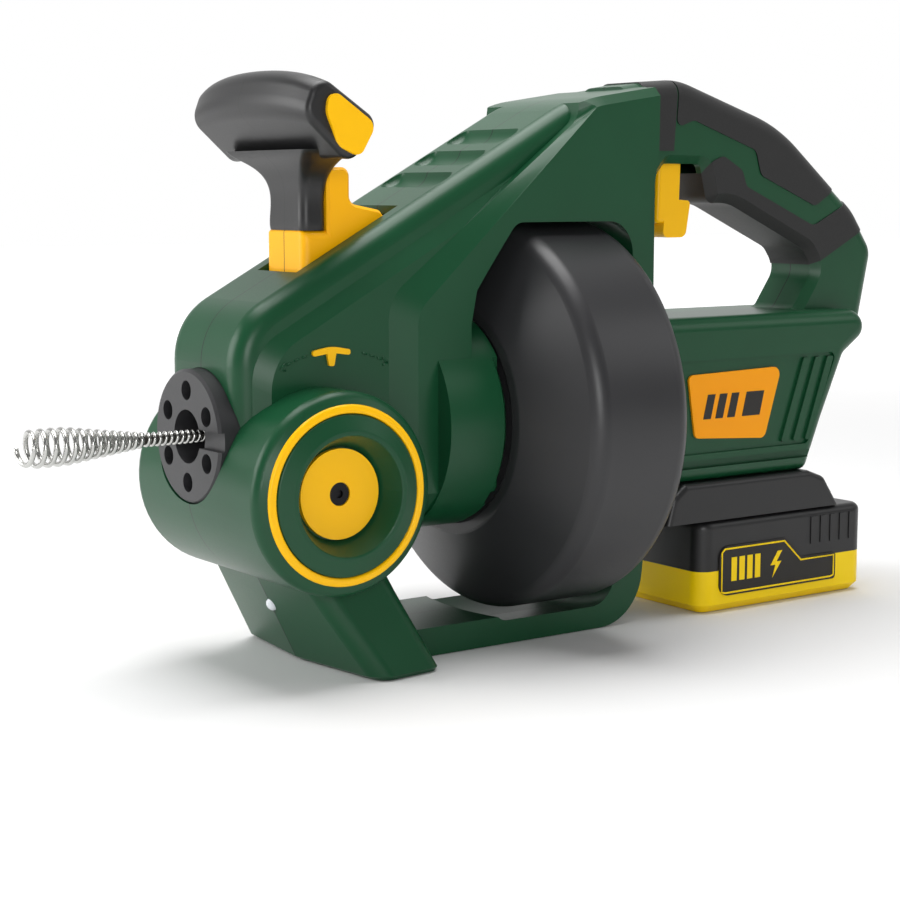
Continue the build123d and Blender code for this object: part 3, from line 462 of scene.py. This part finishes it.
# --- sub-assemblies ---
@dataclass
class CableOutlet:
    """Spring cable that leaves the collar, with its bulb head.

    Lengths are metres on the machine's axis; the tail is in the drum's neck and the tip is the free end.
    """

    axis_z: float = 104.5 * MM
    tail_x: float = -50 * MM
    way_points: tuple[float, float] = (-100 * MM, -160 * MM)
    end_x: float = -201 * MM
    diameter: float = 6.35 * MM
    wire: float = 1.9 * MM
    pitch: float = 2.65 * MM
    head_x: float = -199 * MM
    tip_x: float = -254 * MM
    head_wire: float = 2.2 * MM
    head_turns: int = 14
    head_full: float = 8.2 * MM
    core_play: float = 0.2 * MM

    def route(self) -> list[Vector]:
        """Points of the taut run, read from its NURBS spline.

        Returns:
            Evenly spaced points from the drum neck to the head.
        """
        corners = [self.tail_x, *self.way_points, self.end_x]
        curve = bpy.data.curves.new("cable_route", "CURVE")
        curve.dimensions = "3D"
        spline = curve.splines.new("NURBS")
        spline.points.add(len(corners) - 1)
        for slot, x in zip(spline.points, corners):
            slot.co = (x, 0.0, self.axis_z, 1.0)
        spline.order_u = 3
        spline.use_endpoint_u = True
        holder = bpy.data.objects.new("cable_route", curve)
        bpy.context.scene.collection.objects.link(holder)
        depsgraph = bpy.context.evaluated_depsgraph_get()
        mesh = bpy.data.meshes.new_from_object(holder.evaluated_get(depsgraph))
        points = [v.co.copy() for v in mesh.vertices]
        bpy.data.objects.remove(holder)
        bpy.data.meshes.remove(mesh)
        return points

    def build(self) -> None:
        line = self.route()
        start, end = line[0], line[-1]
        wound = start.x - self.head_x
        mean = (self.diameter - self.wire) / 2
        coil = self._helix(start.x, -wound, wound / self.pitch, lambda s: mean, lambda s: s, 14)
        spring = wire_curve("coil", coil, self.wire / 2, 2)
        # A dark rod wider than the coil's bore fills the gaps between the turns as painted shade; a thinner
        # one runs on inside the head.
        core = self._core(start.x, self.head_x, mean - self.core_play)
        stub = self._core(self.head_x, end.x, mean / 2)
        spring.data.materials.append(SPRING_STEEL.material())
        for rod in (core, stub):
            rod.data.materials.append(PAINTED_SHADE_CORE.material())
        cable = join_all([spring, core, stub])
        cable.name = "spring_cable"
        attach(cable, "cable")
        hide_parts("snake_cable")
        head = self._head(mean)

    def _helix(
        self,
        x: float,
        run: float,
        turns: float,
        radius: Callable[[float], float],
        advance: Callable[[float], float],
        steps: int,
    ) -> list[Point]:
        """Points of a helix about the cable axis.

        Args:
            x: Start of the helix.
            run: Signed length along X.
            turns: Number of turns.
            radius: Radius at a share of the run.
            advance: Share of the run covered at a share of the turns.
            steps: Points for each turn.

        Returns:
            The helix points.
        """
        count = int(turns * steps)
        points = []
        for i in range(count + 1):
            share = i / count
            along = advance(share)
            turn = math.tau * turns * share
            r = radius(along)
            points.append((x + run * along, r * math.cos(turn), self.axis_z + r * math.sin(turn)))
        return points

    def _core(self, x0: float, x1: float, radius: float) -> bpy.types.Object:
        """Make the dark rod that closes the gaps between the turns: painted shade in place of the dark
        inside the coil.

        Args:
            x0: One end along X.
            x1: The other end along X.
            radius: Radius of the core.

        Returns:
            The core rod.
        """
        start_clean()
        bpy.ops.mesh.primitive_cylinder_add(
            vertices=16,
            radius=radius,
            depth=abs(x1 - x0),
            location=((x0 + x1) / 2, 0.0, self.axis_z),
            rotation=(0.0, math.pi / 2, 0.0),
        )
        core = bpy.context.object
        settle(core)
        bpy.ops.object.shade_smooth_by_angle(angle=math.radians(40))
        return core

    def _head(self, mean: float) -> bpy.types.Object:
        """Bulb of open turns that widens evenly from the cable and stays full towards the tip.

        Args:
            mean: Radius of the cable's own coil.

        Returns:
            The head piece.
        """
        full = self.head_full - self.head_wire / 2

        def radius(along: float) -> float:
            """Give the bulb an even flare, a full stretch and a slightly drawn-in tip.

            Args:
                along: Share of the head's length from the cable.

            Returns:
                Radius of the wire's centreline.
            """
            flare = min(1.0, along / 0.66)
            tip = max(0.0, (along - 0.88) / 0.12)
            return mean + (full - mean) * flare - 1.2 * MM * tip**2

        def advance(share: float) -> float:
            """Keep the turns tight at the cable and open them out towards the tip.

            Args:
                share: Share of the turns from the cable.

            Returns:
                Share of the head's length.
            """
            return 0.75 * share + 0.25 * share**2.1

        run = self.tip_x - self.head_x + self.head_wire / 2
        turns = self._helix(self.head_x, run, self.head_turns, radius, advance, 26)
        body = wire_curve("bulb", turns, self.head_wire / 2, 3)
        head = dress(body, SPRING_STEEL, "auger_bulb", "cable")
        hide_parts("auger_head")
        return head


@dataclass
class SidePrints:
    """Generic print and small raised marks on both sides of the machine.

    The badge bars are (x, width) pairs in millimetres, and angles are degrees from the top of the scale.
    """

    badge_bars: tuple[tuple[float, float], ...] = ((86, 5), (94, 5), (102, 5), (112, 12))
    mark_low: float = 97 * MM
    mark_high: float = 109 * MM
    mark_lean: float = 3 * MM
    mark_proud: float = 0.05 * MM
    scale_centre: tuple[float, float] = (-126 * MM, 84 * MM)
    scale_radius: float = 57 * MM
    scale_sunk: float = 1.15 * MM
    dash_start: float = 14.0
    dash_step: float = 4.0
    dash_length: float = 2.4
    dash_count: int = 3
    arrow_angle: float = 28.0
    line_radius: float = 0.5 * MM

    def build(self) -> None:
        """Make the prints of each side."""
        for side in Side:
            self._badge_mark(side)
            self._feed_scale(side)

    def _badge_mark(self, side: Side) -> None:
        """Lay a row of slanted bars on the badge plate.

        Args:
            side: Side of the machine.
        """
        y = side.value * (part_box("badges")[1].y + self.mark_proud)
        lean = self.mark_lean
        bars = []
        for x, width in self.badge_bars:
            left = x * MM
            right = (x + width) * MM
            corners = [
                (left, self.mark_low),
                (right, self.mark_low),
                (right + lean, self.mark_high),
                (left + lean, self.mark_high),
            ]
            bars.append(side_plate("bar", corners, y))
        dress(join_all(bars), PRINT_BLACK, "badge_mark_" + side.name.lower(), "casing")

    def _feed_scale(self, side: Side) -> None:
        """Raise a dashed arc with an arrow head on each side of the lever icon.

        Args:
            side: Side of the machine.
        """
        y = side.value * (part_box("feed_icons")[1].y - self.scale_sunk)
        parts = []
        for way in (-1, 1):
            for number in range(self.dash_count):
                near = self.dash_start + self.dash_step * number
                steps = (0, self.dash_length / 2, self.dash_length)
                dash = [self._on_scale(way * (near + step), y) for step in steps]
                parts.append(wire_curve("dash", dash, self.line_radius, 1))
            tip = self._on_scale(way * self.arrow_angle, y)
            for spread in (-1, 1):
                tail = (tip[0] - way * 2.6 * MM, y, tip[2] + (1.0 + spread * 1.7) * MM)
                parts.append(wire_curve("barb", [tip, tail], self.line_radius, 1))
        dress(join_all(parts), GREEN_SHELL, "feed_scale_" + side.name.lower(), "casing")

    def _on_scale(self, degrees: float, y: float) -> Point:
        """Find a point of the scale's arc.

        Args:
            degrees: Angle from the top of the arc.
            y: Plane of the arc.

        Returns:
            The point.
        """
        turn = math.radians(90 - degrees)
        cx, cz = self.scale_centre
        return (cx + self.scale_radius * math.cos(turn), y, cz + self.scale_radius * math.sin(turn))


@dataclass
class PackPrint:
    """Yellow outline and charge marks on the battery labels; outlines are (x, z) in millimetres."""

    outline: tuple[tuple[float, float], ...] = (
        (97.5, 10), (97.5, 30), (99.5, 31.6), (140.5, 31.6), (152.5, 20.6),
        (176.5, 20.6), (176.5, 10), (174, 9.4), (100, 9.4),
    )
    bolt: tuple[tuple[float, float], ...] = (
        (136, 27), (131, 20), (134.4, 20), (132.4, 13.6), (138.6, 21.6), (135.2, 21.6), (139, 27),
    )
    line_radius: float = 0.5 * MM
    bar_count: int = 4
    bar_x: float = 104.0
    bar_step: float = 5.4
    bar_width: float = 3.6 * MM
    bar_low: float = 15 * MM
    bar_high: float = 27 * MM

    def build(self) -> None:
        """Make the print of each side."""
        for side in Side:
            y = side.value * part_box("battery_labels")[1].y
            name = side.name.lower()
            route = [(x * MM, y, z * MM) for x, z in self.outline]
            rim = wire_curve("rim", route, self.line_radius, 1, True)
            dress(rim, PACK_YELLOW, "pack_outline_" + name, "battery")
            marks = [side_plate("cell", self._bar(number), y) for number in range(self.bar_count)]
            marks.append(side_plate("bolt", [(x * MM, z * MM) for x, z in self.bolt], y))
            dress(join_all(marks), PACK_YELLOW, "pack_marks_" + name, "battery")

    def _bar(self, number: int) -> list[tuple[float, float]]:
        """Outline one bar of the charge gauge.

        Args:
            number: Place of the bar from the left.

        Returns:
            The bar's (x, z) corners.
        """
        left = (self.bar_x + self.bar_step * number) * MM
        right = left + self.bar_width
        return [(left, self.bar_low), (right, self.bar_low), (right, self.bar_high), (left, self.bar_high)]


@dataclass
class Studio:
    """Pale floor, soft lights and the camera."""

    camera_place: Point = (-0.563, -0.7316, 0.208)
    pitch: float = 7.6
    heading: float = -35.5
    lens: float = 77.8
    sensor_width: float = 36.0
    near_clip: float = 0.01
    backdrop: Point = (0.58, 0.81, 0.05)
    floor_size: float = 12.0
    floor_drop: float = 0.4 * MM

    def build(self) -> None:
        """Set the stage."""
        start_clean()
        bpy.ops.mesh.primitive_plane_add(size=self.floor_size, location=(0.0, 0.0, -self.floor_drop))
        floor = bpy.context.object
        floor.name = "studio_floor"
        settle(floor)
        floor.data.materials.append(self._paper())
        self._light("left_box", (-1.25, 0.65, 0.55), (-0.1, 0, 0.12), 0.9, 13)
        self._light("front_box", (-0.85, -1.45, 0.5), (-0.1, 0, 0.12), 0.55, 8)
        self._light("top_box", (0.0, 0.15, 1.5), (0, 0, 0.1), 1.2, 26)
        self._light("right_box", (1.3, -1.0, 1.0), (0.1, 0, 0.1), 0.8, 3)
        self._world()
        self._camera()
        bpy.context.scene.view_settings.view_transform = "Standard"

    def _paper(self) -> bpy.types.Material:
        """Mix matt white paper that glows a little where the lamps no longer reach.

        Returns:
            The floor's material, which reads Object coordinates.
        """
        made = bpy.data.materials.new("studio_paper")
        made.use_nodes = True
        tree = made.node_tree
        tree.nodes.clear()
        place = add_node(tree, "ShaderNodeTexCoord").outputs["Object"]
        away = add_node(tree, "ShaderNodeVectorMath", {"operation": "LENGTH"}, None, {0: place}).outputs[1]
        fade = {"From Min": 0.5, "From Max": 2.2, "To Min": 0.0, "To Max": 0.85}
        smooth = {"interpolation_type": "SMOOTHSTEP"}
        glow = add_node(tree, "ShaderNodeMapRange", smooth, fade, {"Value": away})
        shader = add_node(
            tree,
            "ShaderNodeBsdfPrincipled",
            None,
            {
                "Base Color": hex_colour("e2e2e2"),
                "Roughness": 0.95,
                "Specular IOR Level": 0.2,
                "Emission Color": WHITE,
            },
            {"Emission Strength": glow.outputs[0]},
        )
        add_node(tree, "ShaderNodeOutputMaterial", None, None, {"Surface": shader.outputs[0]})
        return made

    def _light(self, name: str, place: Point, aim: Point, size: float, watts: float) -> None:
        """Hang a square soft box.

        Args:
            name: Name of the lamp.
            place: Where it hangs.
            aim: Point that it faces.
            size: Side of its square.
            watts: Its power.
        """
        data = bpy.data.lights.new(name, "AREA")
        data.size = size
        data.energy = watts
        lamp = bpy.data.objects.new(name, data)
        lamp.location = place
        lamp.rotation_euler = (Vector(aim) - Vector(place)).to_track_quat("-Z", "Y").to_euler()
        bpy.context.scene.collection.objects.link(lamp)

    def _world(self) -> None:
        """Surround the machine with grey that grows white behind it, like a lit paper backdrop."""
        world = bpy.data.worlds.new("studio")
        bpy.context.scene.world = world
        world.use_nodes = True
        tree = world.node_tree
        tree.nodes.clear()
        way = add_node(tree, "ShaderNodeTexCoord").outputs["Generated"]
        dot = {"operation": "DOT_PRODUCT"}
        facing = add_node(tree, "ShaderNodeVectorMath", dot, {1: self.backdrop}, {0: way}).outputs[1]
        rise = {"From Min": 0.3, "From Max": 0.9, "To Min": 0.2, "To Max": 1.0}
        glow = add_node(tree, "ShaderNodeMapRange", None, rise, {"Value": facing}).outputs[0]
        back = add_node(tree, "ShaderNodeBackground", None, {"Color": WHITE}, {"Strength": glow})
        add_node(tree, "ShaderNodeOutputWorld", None, None, {"Surface": back.outputs[0]})

    def _camera(self) -> None:
        """Set the camera at the machine's left front, a little above it."""
        data = bpy.data.cameras.new("camera")
        data.sensor_width = self.sensor_width
        data.lens = self.lens
        data.clip_start = self.near_clip
        camera = bpy.data.objects.new("camera", data)
        camera.location = self.camera_place
        camera.rotation_euler = (math.radians(90 - self.pitch), 0.0, math.radians(self.heading))
        bpy.context.scene.collection.objects.link(camera)
        bpy.context.scene.camera = camera


def dress_frame(nodes: Mapping[str, bpy.types.Object]) -> None:
    """Give every carried-over node its finish.

    Args:
        nodes: The frame's nodes by name.
    """
    for finish, names in CAD_FINISHES.items():
        for name in names:
            slots = nodes[name].data.materials
            slots.clear()
            slots.append(finish.material())
    dressed = {name for names in CAD_FINISHES.values() for name in names}
    LOG.info("nodes left to a new piece: %s", sorted(set(nodes) - dressed))


def main() -> None:
    """Load the frame, build every sub-assembly and give the frame's nodes their finishes."""
    logging.basicConfig(level=logging.INFO, format="%(message)s")
    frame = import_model()
    Studio().build()
    CableOutlet().build()
    dress_frame(frame["nodes"])
    SidePrints().build()
    PackPrint().build()


if __name__ == "__main__":
    main()
